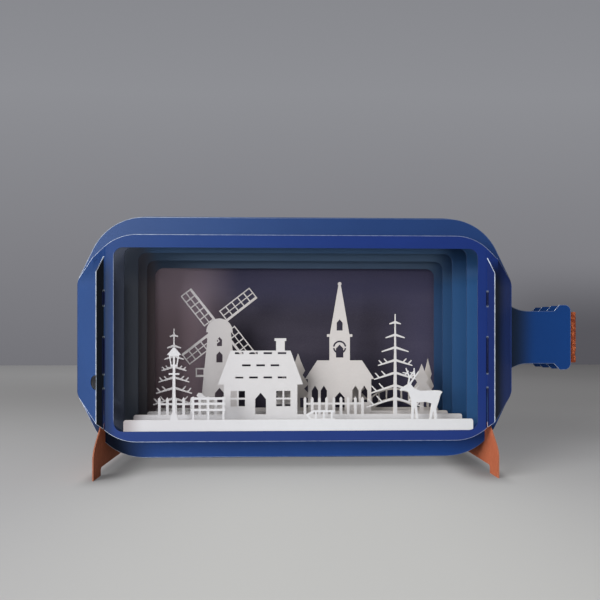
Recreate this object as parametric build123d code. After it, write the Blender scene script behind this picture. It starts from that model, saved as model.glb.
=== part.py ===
from build123d import *
import os
from math import atan2, hypot, sqrt, tan

# A flat-folding pop-up greeting card in the form of a bottle that lies on its side.
# X runs along the bottle towards its mouth, Y runs from the front of the card to its back, Z is up.
# While it is built, X = 0 is the middle of the bottle's body, Y = 0 the front face of the front
# sheet and Z = 0 the table. Everything is moved to the middle of the base when it is written.

# Stock
card = 0.4
white_card = 0.4
stand_card = 0.6
cork_sheet = 1.2

# Clear spaces between the sheets, from the front of the card to its back
front_space = 9.6
first_space = 8.6
second_space = 9.6
third_space = 8.6
fourth_space = 6.6
rear_space = 9.6

# Bottle outlines: half the length of the body, its lowest and highest point, and how much the two
# middle sheets grow all round. A shoulder slants from the end up to the long edge and is rounded there
body_half = 112.4
body_bottom = 7.3
body_top = 130.9
body_slant_run = 15.9
body_slant_drop = 32.8
body_round = 28.8
body_end_round = 8.0
middle_growth = 2.2

# Front and back sheets: how far their lower and upper edges stand inside the bottle's, their shoulders
face_rise = 9.8
face_drop = 10.6
face_slant_run = 23.0
face_slant_drop = 22.0
face_round = 24.0
face_end_round = 6.0

# Sides of those sheets: the wing's breadth across, how far its ridge stands proud, its glued flap, the
# radius of the bend above the ridge, and the pleat between the ridge and the perforated fold
wing_breadth = 13.2
wing_proud = 2.0
wing_flap = 8.5
wing_bend = 9.0
pleat_width = 3.2
pleat_below_top = 11.0
pleat_taper = 7.8
slit_width = 0.4
slit_lengths = [21.4, 18.5, 7.5]
slit_gaps = [7.0, 15.5]
notch_radius = 3.7
notch_below_middle = 22.2

# Windows: frame widths of the front sheet, then how much smaller each next window is on every side
# and at the top. Their lower edges are level
frame_side = 4.8
frame_above = 6.5
frame_below = 5.2
side_steps = [2.4, 4.9, 2.3, 2.4]
top_steps = [-1.8, 1.7, 2.8, 3.1]
window_corner = 4.6

# Neck
neck_half = 13.75
neck_length = 31.6
lip_half = 17.0
lip_length = 8.8
lip_slope = 2.9
lip_corner = 3.2
throat_radius = 0.8
flare_length = 6.0
flare_height = 2.4
flare_radius = 14.0

# Cork
cork_reach = 3.1
cork_glued = 6.0
cork_half = 13.3

# Hinge strips between the sheets
hinge_behind_fold = 0.6
hinge_inner = 4.2
hinge_outer = 5.5

# Stands
stand_clearance = 0.3
toe_reach = 8.3
toe_length = 11.0
toe_height = 13.2
arch_height = 4.0
arch_corner = 1.5
shoulder_radius = 8.0
shoulder_run = 11.8
stand_top = 25.0
pleat_clearance = 0.5

# White layers: gap between a base strip's ends and its window, the strips' tops above the window's
# lower edge, how far the layers are moved towards the neck, the glued margin and the corners
scene_side_gap = 3.5
strip_heights = [5.7, 6.9, 7.4, 7.9]
scene_shift = 1.2
scene_glued = 3.8
strip_round = 1.2

# Motifs of the white layers: heights, half widths, and places from the middle of the body or, for
# those named inset, from the end of their base strip
lamp_height = 33.0
lamp_inset = 25.0
bench_width = 17.0
bench_inset = 42.0
sledge_length = 11.0
sledge_place = 12.0
stag_inset = 25.0
cottage_half = 19.0
cottage_eaves = 17.0
cottage_ridge = 33.0
cottage_place = -20.0
fence_height = 9.0
near_fence = (3.0, 33.0)
side_fence_insets = (13.2, 42.2)
picket_pitch = 3.7
tall_fir = (52.0, 15.0)
tall_fir_inset = 35.2
side_fir = (44.0, 11.0)
side_fir_inset = 14.1
hall_half = 17.0
hall_eaves = 17.0
hall_ridge = 27.0
hall_tower = 41.0
hall_spire = 68.0
hall_place = 22.0
mill_hub = 45.0
mill_sail = 26.0
mill_inset = 34.8
bridge_half = 13.0
bridge_rise = 5.0
bridge_inset = 24.8
third_end_fir = (14.1, 25.0, 7.5)
third_firs = [(-8.0, 20.0, 6.0)]
far_end_fir = (5.8, 27.0, 4.5)
far_firs = [(0.0, 30.0, 8.0), (32.0, 24.0, 7.0)]

# Y of the front face of each sheet
y_front = 0.0
y_first = y_front + card + front_space
y_second = y_first + card + first_space
y_third = y_second + card + second_space
y_fourth = y_third + card + third_space
y_backdrop = y_fourth + card + fourth_space
y_back = y_backdrop + card + rear_space
depth = y_back + card

# Places that follow from the sizes above
ridge_x = body_half - wing_breadth
fold_x = ridge_x - pleat_width
face_bottom = body_bottom + face_rise
face_top = body_top - face_drop
pleat_top = face_top - pleat_below_top
ridge_top = pleat_top - pleat_taper
shoulder_slope = (stand_top - toe_height) / shoulder_run
pleat_bottom = toe_height + (toe_reach + card) * shoulder_slope + pleat_clearance
neck_level = (body_bottom + body_top) / 2
neck_end = body_half + neck_length
window_half = [fold_x - frame_side - sum(side_steps[:i]) for i in range(5)]
window_top = [face_top - frame_above - sum(top_steps[:i]) for i in range(5)]
window_bottom = face_bottom + frame_below
hinge_x = fold_x - hinge_behind_fold
hinge_bottom = body_bottom + body_slant_drop
hinge_top = body_top - body_slant_drop
stand_x = ridge_x - stand_clearance - stand_card / 2
scene_half = [half - scene_side_gap for half in window_half[:4]]
ground = [window_bottom + rise for rise in strip_heights]


# Sketch helpers, drawn with X across and the second axis up

def upright(sketch, y, thickness):
    """A sheet of the sketch's outline that stands from y to y + thickness."""
    face_plane = Plane(origin=(0, y, 0), x_dir=(1, 0, 0), z_dir=(0, -1, 0))
    return extrude(face_plane * sketch, thickness, dir=(0, 1, 0))


def outline(points):
    """A flat shape with straight edges, its front side up whichever way round its points run."""
    turn = sum(a[0] * b[1] - b[0] * a[1] for a, b in zip(points, points[1:] + points[:1]))
    return Polygon(*(points if turn > 0 else points[::-1]), align=None)


def block(left, right, low, high):
    """A rectangle given by its four sides."""
    return Pos((left + right) / 2, (low + high) / 2) * Rectangle(right - left, high - low)


def rounded_block(half, low, high, radius):
    """A rectangle with round corners, centred across."""
    return Pos(0, (low + high) / 2) * RectangleRounded(2 * half, high - low, radius)


def bar(start, end, width, end_width=None):
    """A straight bar between two points, with its own width at each end."""
    tip = width if end_width is None else end_width
    run = hypot(end[0] - start[0], end[1] - start[1])
    nx = -(end[1] - start[1]) / run / 2
    ny = (end[0] - start[0]) / run / 2
    return outline([
        (start[0] + nx * width, start[1] + ny * width),
        (start[0] - nx * width, start[1] - ny * width),
        (end[0] - nx * tip, end[1] - ny * tip),
        (end[0] + nx * tip, end[1] + ny * tip),
    ])


def slanted_corners(half, low, high, run, drop):
    """The corners of a long shape with its four corners cut off at a slant, centred across."""
    return [
        (half, low + drop),
        (half, high - drop),
        (half - run, high),
        (run - half, high),
        (-half, high - drop),
        (-half, low + drop),
        (run - half, low),
        (half - run, low),
    ]


def shouldered_block(half, low, high, run, drop, shoulder, end):
    """The same shape with round shoulders and round ends."""
    points = slanted_corners(half, low, high, run, drop)
    radii = [end, end, shoulder, shoulder, end, end, shoulder, shoulder]
    return make_face(FilletPolyline(*points, radius=radii, close=True))


# Bottle sheets

def neck_outline(root):
    """The neck with its flared root and its rounded lip."""
    lip_start = neck_end - lip_length
    half = [
        (root - 4, neck_half + flare_height),
        (root, neck_half + flare_height),
        (root + flare_length, neck_half),
        (lip_start, neck_half),
        (lip_start + lip_slope, lip_half),
        (neck_end, lip_half),
    ]
    points = half + [(x, -z) for x, z in reversed(half)]
    radii = [0, 0, flare_radius, throat_radius, throat_radius, lip_corner]
    path = FilletPolyline(*points, radius=radii + radii[::-1], close=True)
    return Pos(0, neck_level) * make_face(path)


def bottle_outline(growth):
    """The bottle's side view: the body, grown all round, with the neck."""
    body = shouldered_block(
        body_half, body_bottom, body_top, body_slant_run, body_slant_drop, body_round, body_end_round)
    if growth:
        body = offset(body, growth)
    return body + neck_outline(body_half + growth)


def bottle_sheet(growth, y, window):
    """One sheet in the form of the bottle, with its window."""
    opening = rounded_block(window_half[window], window_bottom, window_top[window], window_corner)
    return upright(bottle_outline(growth) - opening, y, card)


# Front and back sheets

def wing_crease():
    """X where the slanted wing meets the flat of the sheet."""
    slope = (body_half - ridge_x) / (y_first + wing_proud)
    return ridge_x + wing_proud * slope


def section_points(front):
    """The corners of a card's section whose front face runs through the points given."""
    runs = [hypot(b[0] - a[0], b[1] - a[1]) for a, b in zip(front, front[1:])]
    normals = [((a[1] - b[1]) / run, (b[0] - a[0]) / run) for a, b, run in zip(front, front[1:], runs)]
    before = normals[:1] + normals
    after = normals + normals[-1:]
    back = []
    for (x, y), (ax, ay), (bx, by) in zip(front, before, after):
        reach = card / (1 + ax * bx + ay * by)
        back.append((x + reach * (ax + bx), y + reach * (ay + by)))
    return front + back[::-1]


def folded_section(front):
    """A card in section with sharp folds."""
    return outline(section_points(front))


def standing(section, low, high):
    """A section in plan, raised from one level to another."""
    return Pos(0, 0, low) * extrude(section, high - low, dir=(0, 0, 1))


def wing_end():
    """A point past the end of the wing, on its slant."""
    return (body_half + wing_breadth, 2 * y_first + wing_proud)


def bent_top():
    """Above the pleat: the sheet bends round from the flat of the face to the slant of the wing."""
    corners = section_points([(fold_x - 1, 0), (wing_crease(), 0), wing_end()])
    radii = [0, wing_bend, 0, 0, wing_bend - card, 0]
    section = make_face(FilletPolyline(*corners, radius=radii, close=True))
    return standing(section, pleat_top, face_top)


def pleat_end():
    """Where the pleat runs out: a twisted piece from the full ridge to the flat of the face."""
    crease = wing_crease()
    tip = wing_end()
    full = folded_section([(ridge_x, -wing_proud), (crease, 0), tip])
    flat = folded_section([(fold_x, 0), (crease, 0), tip])
    return loft([Pos(0, 0, ridge_top) * full, Pos(0, 0, pleat_top) * flat], ruled=True)


def pleat_region():
    """The pleat in the front view: up to the ridge, and its upper end tapers to the fold."""
    return outline([
        (fold_x - 1, pleat_bottom),
        (ridge_x + 1, pleat_bottom),
        (ridge_x + 1, ridge_top),
        (ridge_x, ridge_top),
        (fold_x, pleat_top),
        (fold_x - 1, pleat_top),
    ])


def folded_side(side_prism):
    """The right-hand side: pleat, ridge and wing, which slopes back to the next sheet, where a flap
    is turned in and glued."""
    ridge = (ridge_x, -wing_proud)
    section = folded_section([(fold_x - 1, 0), (fold_x, 0), ridge, wing_end()])
    pleat = standing(section, pleat_bottom, ridge_top)
    taper = standing(folded_section([(fold_x - 1, 0), (fold_x, 0), ridge]), pleat_bottom, pleat_top)
    low_wing = standing(folded_section([ridge, wing_end()]), face_bottom, pleat_bottom)
    side = pleat + (taper & upright(pleat_region(), -depth, 3 * depth)) + low_wing + pleat_end() + bent_top()
    flap = block(body_half - wing_flap, body_half, y_first - card, y_first)
    side += standing(flap, face_bottom, face_top)
    side &= standing(block(0, body_half, -depth, y_first), face_bottom, face_top)
    return side & side_prism


def face_sheet(front):
    """The front sheet, or the back one without window, slits and notch: two sides are folded back."""
    face = shouldered_block(
        body_half, face_bottom, face_top, face_slant_run, face_slant_drop, face_round, face_end_round)
    panel = face & block(-fold_x, fold_x, 0, body_top)
    if front:
        panel -= rounded_block(window_half[0], window_bottom, window_top[0], window_corner)
    right = folded_side(upright(face, -depth, 3 * depth))
    left = mirror(right, about=Plane.YZ)
    if front:
        notch_level = neck_level - notch_below_middle
        notch = Pos(-ridge_x, 0, notch_level) * Rot(90, 0, 0) * Cylinder(notch_radius, y_first)
        left -= notch & Pos(-ridge_x, 0, notch_level) * Box(
            2 * notch_radius, 2 * y_first, 2 * notch_radius, align=(Align.MAX, Align.CENTER, Align.CENTER))
    sheet = upright(panel, y_front, card) + right + left
    return sheet - fold_slits() if front else sheet


def fold_slits():
    """The slits that let the pleats fold easily; the lowest is open at the pleat's lower end."""
    cuts = []
    low = pleat_bottom
    for length, gap in zip(slit_lengths, slit_gaps + [0]):
        middle = low + length / 2
        cuts += [Pos(side * fold_x, card, middle) * Box(slit_width, 4 * card, length) for side in (-1, 1)]
        low += length + gap
    return cuts


def rear_sheet():
    """The closed back of the card, turned to face the other way."""
    return Pos(0, depth, 0) * mirror(face_sheet(False), about=Plane.XZ)


def backdrop():
    """The plain sheet behind the pictures, with slanted corners. The back sheet's flaps are glued to it."""
    shape = outline(slanted_corners(body_half, face_bottom, face_top, face_slant_run, face_slant_drop))
    return upright(shape, y_backdrop, card)


# Hinge strips

def hinge_strip(y_low, y_high, inner_first):
    """A Z-folded strip that joins the back of one sheet to the front of the next, right-hand side."""
    y_inner = y_low if inner_first else y_high - card
    y_outer = y_high - card if inner_first else y_low
    section = block(hinge_x - card, hinge_x, y_low, y_high)
    section += block(hinge_x - hinge_inner, hinge_x, y_inner, y_inner + card)
    section += block(hinge_x - card, hinge_x + hinge_outer, y_outer, y_outer + card)
    return standing(section, hinge_bottom, hinge_top)


# Stands

def shoulder_level(growth):
    """Level of a bottle sheet's round lower shoulder at the inner face of the stand."""
    turn = atan2(body_slant_drop, body_slant_run)
    start = body_half - body_slant_run - body_round * tan(turn / 2)
    across = stand_x - stand_card / 2 - start
    return body_bottom + body_round - sqrt((body_round + growth) ** 2 - across ** 2)


def stand():
    """The right-hand stand: toes at both ends, an arch between them and a slot for each bottle sheet."""
    half = [
        (-toe_reach, 0),
        (-toe_reach, toe_height),
        (-toe_reach + shoulder_run, stand_top),
    ]
    feet = [
        (-toe_reach + toe_length, arch_height),
        (-toe_reach + toe_length, 0),
    ]
    rear_half = [(depth - y, z) for y, z in reversed(half)]
    rear_feet = [(depth - y, z) for y, z in reversed(feet)]
    points = half + rear_half + rear_feet + feet
    radii = [0, shoulder_radius, 0, 0, shoulder_radius, 0, 0, arch_corner, arch_corner, 0]
    side_plane = Plane(origin=(stand_x - stand_card / 2, 0, 0), x_dir=(0, 1, 0), z_dir=(1, 0, 0))
    plate = extrude(side_plane * make_face(FilletPolyline(*points, radius=radii, close=True)), stand_card)
    for y, growth in ((y_first, 0), (y_second, middle_growth), (y_third, middle_growth), (y_fourth, 0)):
        floor = shoulder_level(growth)
        slot = Box(2 * stand_card, card, stand_top - floor, align=(Align.CENTER, Align.MIN, Align.MIN))
        plate -= Pos(stand_x, y, floor) * slot
    return plate


# Cork

def cork():
    """The strip of cork that shows at the mouth, glued behind the first neck."""
    low, high = neck_level - cork_half, neck_level + cork_half
    shape = block(neck_end - cork_glued, neck_end + cork_reach, low, high)
    return upright(shape, y_first + card, cork_sheet)


# White cut-paper pictures

def lacy_fir(height, spread, tiers):
    """A fir drawn as a trunk with drooping boughs, each bough with two twigs."""
    shape = bar((0, -1), (0, height), 2.2, 0.5)
    for i in range(tiers):
        rise = height * (0.16 + 0.76 * i / (tiers - 1))
        reach = spread * (1 - 0.8 * i / (tiers - 1))
        for side in (-1, 1):
            root = (0, rise)
            tip = (side * reach, rise - 0.32 * reach)
            shape += bar(root, tip, 1.25, 0.55)
            for part in (0.45, 0.75):
                knee = (tip[0] * part, rise + (tip[1] - rise) * part)
                twig = (knee[0] + side * 0.2 * reach, knee[1] + 0.22 * reach)
                if reach > 0.5 * spread:
                    shape += bar(knee, twig, 0.8, 0.5)
    return shape


def small_fir(height, spread):
    """A solid little fir with three tiers."""
    left = []
    for i in range(3):
        low = height * (0.18 + 0.25 * i)
        wide = spread * (1 - 0.26 * i)
        left += [(-wide, low), (-wide * 0.42, low + height * 0.17)]
    right = [(-x, z) for x, z in reversed(left)]
    trunk = block(-spread * 0.14, spread * 0.14, -1, height * 0.2)
    return outline(left + [(0, height)] + right) + trunk


def window_panes(width, height, bar_width):
    """The four panes of a small window, to be cut out."""
    panes = None
    for sx in (-1, 1):
        for sz in (-1, 1):
            pane = Pos(sx * (width + bar_width) / 4, sz * (height + bar_width) / 4) * Rectangle(
                (width - bar_width) / 2, (height - bar_width) / 2)
            panes = pane if panes is None else panes + pane
    return panes


def arched_hole(width, height):
    """An opening with a pointed arch, standing on its sill."""
    return outline([
        (-width / 2, 0),
        (width / 2, 0),
        (width / 2, height * 0.7),
        (0, height),
        (-width / 2, height * 0.7),
    ])


def sail(length, width, slats):
    """A lattice sail of a windmill: a stock with two long rails and cross slats, pointing up."""
    start = length * 0.2
    shape = bar((0, 0), (0, length), 1.3)
    shape += bar((-width, start), (-width, length), 0.6)
    shape += bar((-width / 2, start), (-width / 2, length), 0.5)
    for i in range(slats):
        level = start + (length - start - 0.3) * i / (slats - 1)
        shape += bar((-width - 0.3, level), (0.65, level), 0.6)
    return shape


def windmill(hub_level, sail_length):
    """A tower mill: tapering tower, round cap, gallery with a railing and four lattice sails."""
    tower = outline([(-10.5, -1), (10.5, -1), (6.2, hub_level - 3), (-6.2, hub_level - 3)])
    cap = Pos(0, hub_level - 3) * Circle(7.2)
    cap &= block(-9, 9, hub_level - 3.4, hub_level + 6)
    gallery = block(-13, 13, 17, 18.2)
    gallery += block(-13, 13, 21.2, 21.9)
    for i in range(7):
        x = -12.7 + 25.4 * i / 6
        gallery += block(x - 0.3, x + 0.3, 17.5, 21.5)
    shape = tower + cap + gallery
    shape -= Pos(0, 1.5) * arched_hole(5, 9.5)
    shape -= Pos(0, 25) * arched_hole(3.4, 6)
    shape -= Pos(0, 34) * arched_hole(2.8, 5)
    for i in range(4):
        shape += Pos(0, hub_level) * Rot(0, 0, 38 + 90 * i) * sail(sail_length, 6.4, 6)
    return shape + Pos(0, hub_level) * Circle(2.4)


def cottage(half, eaves, ridge):
    """A cottage seen from its long side: walls, tiled roof, chimney, door and windows."""
    shape = block(-half, half, -1, eaves)
    shape += outline([
        (-half - 3, eaves - 1.5),
        (half + 3, eaves - 1.5),
        (half - 3.5, ridge),
        (-half + 3.5, ridge),
    ])
    shape += block(half - 11, half - 6.5, ridge - 3, ridge + 6)
    shape += block(half - 11.8, half - 5.7, ridge + 5, ridge + 6.4)
    for row in range(3):
        level = eaves + 1.6 + (ridge - eaves - 3.4) * row / 2
        count = 4 - row % 2
        for i in range(count):
            x = 7.4 * (i - (count - 1) / 2)
            shape -= block(x - 2.2, x + 2.2, level, level + 1.0)
    shape -= arched_hole(5.6, eaves * 0.66)
    for x in (-half * 0.62, half * 0.62):
        shape -= Pos(x, eaves * 0.48) * window_panes(7.4, 8, 0.9)
    return shape


def spired_hall(half, eaves, ridge, tower_top, spire_top):
    """A village hall with a clock tower and a slim spire."""
    shape = block(-half, half, -1, eaves)
    shape += outline([(-half - 1.6, eaves), (half + 1.6, eaves), (half - 5, ridge), (-half + 5, ridge)])
    tower = block(-5.5, 5.5, -1, tower_top)
    tower += block(-6.8, 6.8, tower_top - 1.4, tower_top)
    tower += outline([(-5.2, tower_top), (5.2, tower_top), (0.5, spire_top), (-0.5, spire_top)])
    tower += Pos(0, spire_top) * Circle(1.0)
    shape += tower
    clock_level = tower_top - 7
    shape -= Pos(0, clock_level) * (Circle(3.6) - Circle(2.7))
    shape += Pos(0, clock_level) * block(-4.0, 4.0, -0.4, 0.4)
    shape -= Pos(0, tower_top + 2) * arched_hole(3.2, 6)
    shape -= Pos(0, ridge + 1.5) * arched_hole(4, 7)
    shape -= arched_hole(5.4, 10)
    for x in (-0.78 * half, -0.5 * half, 0.5 * half, 0.78 * half):
        shape -= Pos(x, 4.5) * arched_hole(3.4, 9)
    return shape


def picket_fence(left, right, height):
    """A fence of pointed pickets on a rail."""
    count = int((right - left) / picket_pitch)
    shape = block(left, right, height * 0.55, height * 0.55 + 1.0)
    for i in range(count + 1):
        x = left + (right - left) * i / count
        shape += outline([
            (x - 0.7, -1),
            (x + 0.7, -1),
            (x + 0.7, height - 0.9),
            (x, height),
            (x - 0.7, height - 0.9),
        ])
    return shape


def street_lamp(height):
    """A street lamp with a glazed lantern."""
    shape = bar((0, -1), (0, height - 6), 1.6, 1.1)
    shape += outline([(-2.4, -1), (2.4, -1), (1.1, 3.4), (-1.1, 3.4)])
    shape += block(-2.6, 2.6, height - 10.5, height - 9.7)
    lantern = outline([(-1.6, height - 6.4), (1.6, height - 6.4), (2.7, height), (-2.7, height)])
    shape += lantern
    shape += outline([(-3.5, height - 0.6), (3.5, height - 0.6), (0.5, height + 3), (-0.5, height + 3)])
    for side in (-1, 1):
        shape -= outline([
            (side * 0.4, height - 5.5),
            (side * 1.15, height - 5.5),
            (side * 1.9, height - 1.2),
            (side * 0.4, height - 1.2),
        ])
    return shape


def bench(width):
    """A park bench seen from the front."""
    shape = block(-width / 2, width / 2, 4.4, 5.5)
    for level in (7.4, 10.0):
        shape += block(-width / 2, width / 2, level, level + 1.2)
    for x in (-width / 2 + 1, 0, width / 2 - 1):
        shape += block(x - 0.5, x + 0.5, -1, 11.5)
    return shape


def stag():
    """A standing stag, looking to the left."""
    body = outline([
        (-8.6, 17.4), (-10.6, 16.2), (-12.4, 15.0), (-12.2, 14.2), (-9.6, 14.4), (-8.0, 13.6),
        (-6.6, 9.6), (-6.4, 5.2), (-6.8, -1), (-5.6, -1), (-5.1, 5.0), (-4.4, 8.4),
        (1.0, 8.6), (4.2, 7.6), (4.6, 4.6), (5.4, -1), (6.6, -1), (6.2, 5.0),
        (7.6, 9.2), (8.4, 12.2), (9.4, 13.6), (8.2, 14.2), (6.0, 14.4), (-2.0, 14.2),
        (-5.0, 15.4), (-7.2, 18.0),
    ])
    body += bar((-4.6, 8.8), (-3.4, -1), 1.5, 1.0)
    body += bar((4.8, 8.8), (3.0, -1), 1.9, 1.0)
    for lean in (0.0, 2.6):
        root = (-8.0 + lean * 0.2, 17.2)
        bend = (-7.4 + lean, 21.0)
        tip = (-9.2 + lean * 1.6, 25.6)
        body += bar(root, bend, 0.9, 0.7)
        body += bar(bend, tip, 0.8, 0.5)
        body += bar(bend, (-5.2 + lean, 24.0), 0.7, 0.5)
        body += bar((-8.1 + lean * 1.2, 22.9), (-10.8 + lean * 1.4, 23.4), 0.6, 0.4)
    return body


def sledge(length):
    """A little sledge with curved-up runners."""
    shape = block(-length / 2, length / 2, 3.6, 4.6)
    shape += block(-length / 2 - 1, length / 2, -0.6, 0.4)
    for x in (-length * 0.36, 0, length * 0.36):
        shape += block(x - 0.45, x + 0.45, 0, 4)
    shape += bar((-length / 2 - 0.8, -0.2), (-length / 2 - 3.2, 2.4), 0.9)
    shape += bar((-length / 2 - 3.2, 2.1), (-length / 2 + 0.4, 4.1), 0.9)
    return shape


def bird():
    """A small perched bird."""
    return outline([
        (-2.6, 1.4), (-1.6, 2.8), (0.0, 2.6), (1.8, 1.0), (3.6, -0.6), (1.4, -0.3), (0.2, -0.8), (-1.2, 0.0),
    ])


def footbridge(half, rise):
    """An arched footbridge with a railing."""
    radius = (half ** 2 + rise ** 2) / (2 * rise)
    centre = rise - radius
    deck = Pos(0, centre) * (Circle(radius) - Circle(radius - 1.4))
    rail = Pos(0, centre + 5.6) * (Circle(radius) - Circle(radius - 0.8))
    shape = (deck & block(-half, half, -1, rise + 1)) + (rail & block(-half, half, 2, rise + 7))
    for i in range(7):
        x = -half + 0.5 + (2 * half - 1) * i / 6
        level = centre + sqrt(radius ** 2 - x ** 2)
        shape += block(x - 0.4, x + 0.4, min(level - 1, 0) if abs(x) > half - 1 else level - 1, level + 5.2)
    return shape


def base_strip(layer):
    """The white strip that is glued behind the lower edge of a window."""
    half = scene_half[layer]
    low = window_bottom - scene_glued
    return rounded_block(half, low, ground[layer], strip_round)


def scene_layer(layer, y, motifs):
    """One white sheet: its base strip with the motifs that stand on it."""
    shape = base_strip(layer)
    for x, motif in motifs:
        shape += Pos(x, ground[layer]) * motif
    return upright(Pos(scene_shift, 0) * shape, y + card, white_card)


def fir_row(firs):
    """Small firs at their places from the middle."""
    return [(place, small_fir(height, spread)) for place, height, spread in firs]


def near_scene():
    end = scene_half[0]
    motifs = [
        (lamp_inset - end, street_lamp(lamp_height)),
        (bench_inset - end, bench(bench_width)),
        (sledge_place, sledge(sledge_length)),
        (end - stag_inset, stag()),
    ]
    return scene_layer(0, y_front, motifs)


def second_scene():
    end = scene_half[1]
    side_fence = [inset - end for inset in side_fence_insets]
    perch = side_fence[1] - 2 * picket_pitch
    motifs = [
        (cottage_place, cottage(cottage_half, cottage_eaves, cottage_ridge)),
        (0, picket_fence(*near_fence, fence_height)),
        (0, picket_fence(*side_fence, fence_height)),
        (end - tall_fir_inset, lacy_fir(*tall_fir, 7)),
        (perch, Pos(0, fence_height - 0.5) * bird()),
    ]
    return scene_layer(1, y_first, motifs)


def third_scene():
    end = scene_half[2]
    inset, height, spread = third_end_fir
    motifs = [
        (hall_place, spired_hall(hall_half, hall_eaves, hall_ridge, hall_tower, hall_spire)),
        (side_fir_inset - end, lacy_fir(*side_fir, 7)),
    ]
    return scene_layer(2, y_second, motifs + fir_row(third_firs + [(end - inset, height, spread)]))


def far_scene():
    end = scene_half[3]
    inset, height, spread = far_end_fir
    motifs = [
        (mill_inset - end, windmill(mill_hub, mill_sail)),
        (end - bridge_inset, footbridge(bridge_half, bridge_rise)),
    ]
    return scene_layer(3, y_third, motifs + fir_row(far_firs + [(end - inset, height, spread)]))


# Assembly

def card_pieces():
    """Every piece of the card by its node name."""
    pieces = {
        "front_sheet": face_sheet(True),
        "first_bottle_sheet": bottle_sheet(0, y_first, 1),
        "second_bottle_sheet": bottle_sheet(middle_growth, y_second, 2),
        "third_bottle_sheet": bottle_sheet(middle_growth, y_third, 3),
        "fourth_bottle_sheet": bottle_sheet(0, y_fourth, 4),
        "backdrop": backdrop(),
        "back_sheet": rear_sheet(),
        "cork": cork(),
        "near_scene": near_scene(),
        "second_scene": second_scene(),
        "third_scene": third_scene(),
        "far_scene": far_scene(),
    }
    gaps = [
        (y_front, y_first, True),
        (y_first, y_second, True),
        (y_second, y_third, True),
        (y_third, y_fourth, True),
        (y_fourth, y_backdrop, True),
        (y_backdrop, y_back, False),
    ]
    for number, (y_low, y_high, inner_first) in enumerate(gaps, start=1):
        strip = hinge_strip(y_low + card, y_high, inner_first)
        pieces[f"right_hinge_strip_{number}"] = strip
        pieces[f"left_hinge_strip_{number}"] = mirror(strip, about=Plane.YZ)
    pieces["right_stand"] = stand()
    pieces["left_stand"] = mirror(stand(), about=Plane.YZ)
    return pieces


def base_middle():
    """The middle of the whole card's box, as seen from above."""
    left = -(body_half + middle_growth)
    right = neck_end + cork_reach
    return ((left + right) / 2, depth / 2)


def write_pieces():
    """Writes one STEP file for each piece, with the origin in the middle of the base."""
    os.makedirs("parts", exist_ok=True)
    middle_x, middle_y = base_middle()
    for name, piece in card_pieces().items():
        export_step(Pos(-middle_x, -middle_y, 0) * piece, os.path.join("parts", name + ".step"))


write_pieces()
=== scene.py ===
import math

import bpy
import numpy as np
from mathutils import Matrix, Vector


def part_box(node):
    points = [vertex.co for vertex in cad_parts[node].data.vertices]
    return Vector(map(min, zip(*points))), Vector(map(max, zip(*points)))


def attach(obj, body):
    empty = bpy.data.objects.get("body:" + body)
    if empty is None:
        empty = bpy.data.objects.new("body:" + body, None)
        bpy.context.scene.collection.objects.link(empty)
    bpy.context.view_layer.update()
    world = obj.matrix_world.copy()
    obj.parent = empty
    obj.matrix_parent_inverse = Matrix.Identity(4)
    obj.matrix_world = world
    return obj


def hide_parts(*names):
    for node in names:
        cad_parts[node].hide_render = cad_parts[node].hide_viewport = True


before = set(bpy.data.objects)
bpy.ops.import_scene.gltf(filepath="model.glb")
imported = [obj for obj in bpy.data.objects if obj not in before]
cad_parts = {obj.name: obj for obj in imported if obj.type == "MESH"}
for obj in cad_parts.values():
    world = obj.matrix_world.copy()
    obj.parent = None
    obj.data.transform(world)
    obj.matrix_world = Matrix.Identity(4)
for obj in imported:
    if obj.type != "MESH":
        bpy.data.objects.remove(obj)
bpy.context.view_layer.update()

# A pop-up greeting card in the form of a bottle that lies on its side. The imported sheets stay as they
# are: this script gives them their paper, print and cut edges, and makes the cork with its grain.
# Lengths in the shader sums are in millimetres, measured from the middle of the bottle's body (x), the
# front face of the front sheet (y) and the table (z).

MM = 0.001
CARD = 0.4
MIDDLE_X = sum(corner.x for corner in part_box("front_sheet")) / 2
FRONT_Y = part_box("near_scene")[0].y - CARD * MM


def millimetres(node):
    """Lowest and highest corner of a node, in this script's own millimetres."""
    shift = Vector((MIDDLE_X, FRONT_Y, 0))
    return [(corner - shift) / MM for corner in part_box(node)]


# Sizes of the card that the prints and the pale edges, rubbed and partly a painted highlight, follow. A
# shoulder is its run inwards, its drop and the radius that rounds it; the flare is the neck root's
# length and its growth to each side.
FACE_LOW, FACE_HIGH = millimetres("front_sheet")
BODY_HALF = FACE_HIGH.x
FACE_SHOULDER = (23.0, 22.0, 24.0)
BODY_SHOULDER = (15.9, 32.8, 28.8)
NECK_HALF = 13.75
FLARE = (8.7, 2.4)
LIP_LENGTH = 8.8
LIP_SLOPE = 2.9
LIP_HALF = 17.0
LIP_CORNER = 3.2
RIDGE_X = 99.2
FOLD_X = 96.0
RIDGE_TOP = 101.5
PLEAT_TOP = 109.3
WINDOW_HALF = 91.2
OUTER_FOLD = BODY_HALF - 0.5
BOTTLE_SHEETS = [f"{order}_bottle_sheet" for order in ("first", "second", "third", "fourth")]
WHITE_LAYERS = ["near_scene", "second_scene", "third_scene", "far_scene"]


def shade(red, green, blue):
    """A display colour from 0 to 255 a channel, as the linear colour that a shader takes."""
    levels = [channel / 255 for channel in (red, green, blue)]
    linear = [v / 12.92 if v <= 0.04045 else ((v + 0.055) / 1.055) ** 2.4 for v in levels]
    return (*linear, 1.0)


# Shader sums

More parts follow.
